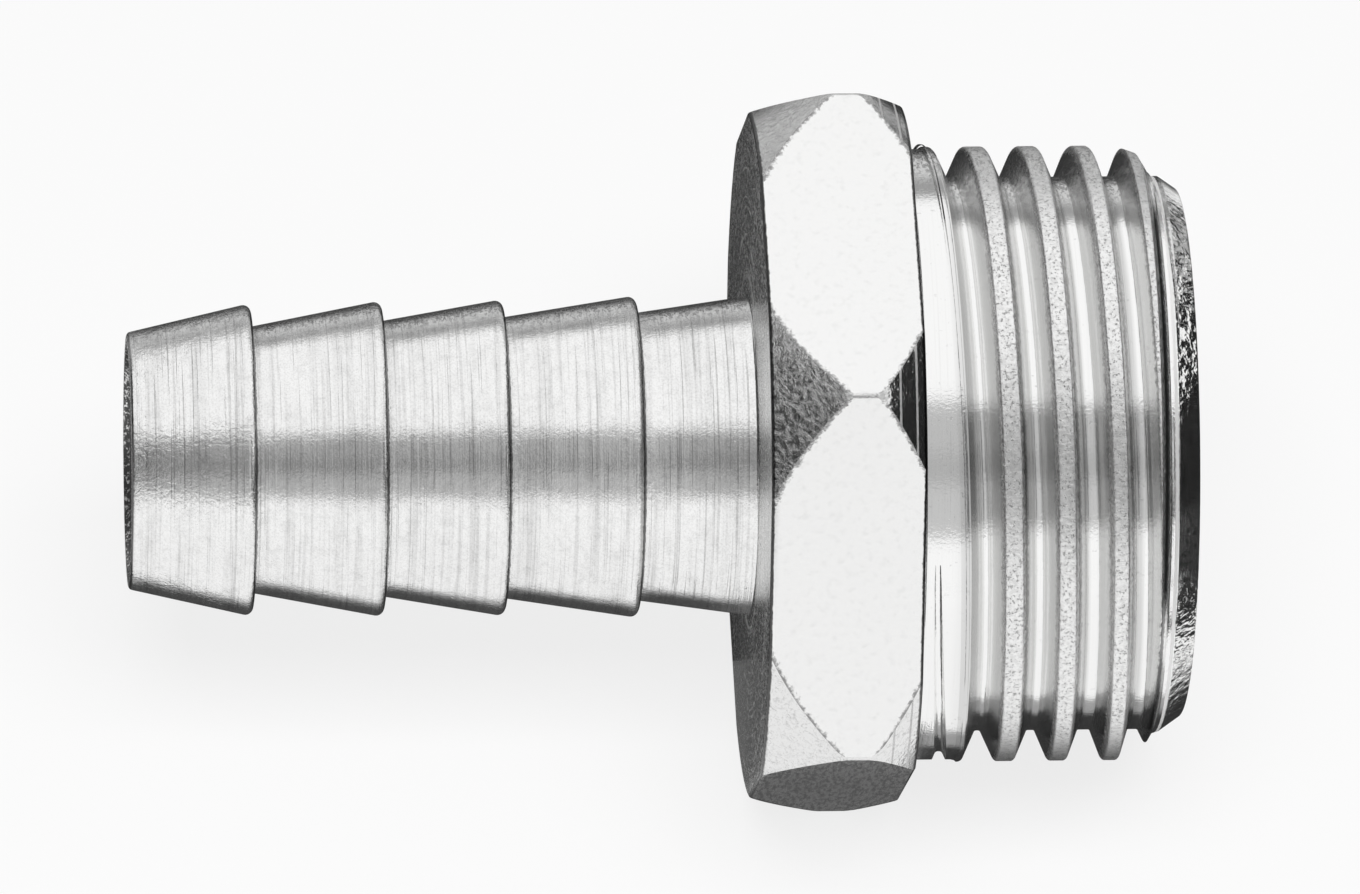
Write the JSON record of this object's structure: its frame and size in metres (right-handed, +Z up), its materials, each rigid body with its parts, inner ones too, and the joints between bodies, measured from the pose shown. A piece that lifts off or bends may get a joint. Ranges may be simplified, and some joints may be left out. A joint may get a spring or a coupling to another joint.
{
  "type": "hose barb tail",
  "caption": "Turned and plated brass hose tail: barbed hose spigot, spanner hexagon and parallel male pipe thread on a common axis, with a plain bore right through.",
  "frame": {"origin": "on the axis of the bore, in the flat shoulder of the hexagon that faces the thread", "axes": "+X along the bore towards the threaded end, +Z up, square to the hexagon flat opposite the one it rests on"},
  "size_m": [0.0357, 0.0262, 0.0228],
  "materials": {
    "nickel_plating": "satin"
  },
  "bodies": {
    "root": {"hose_tail": "nickel_plating"}
  },
  "joints": []
}
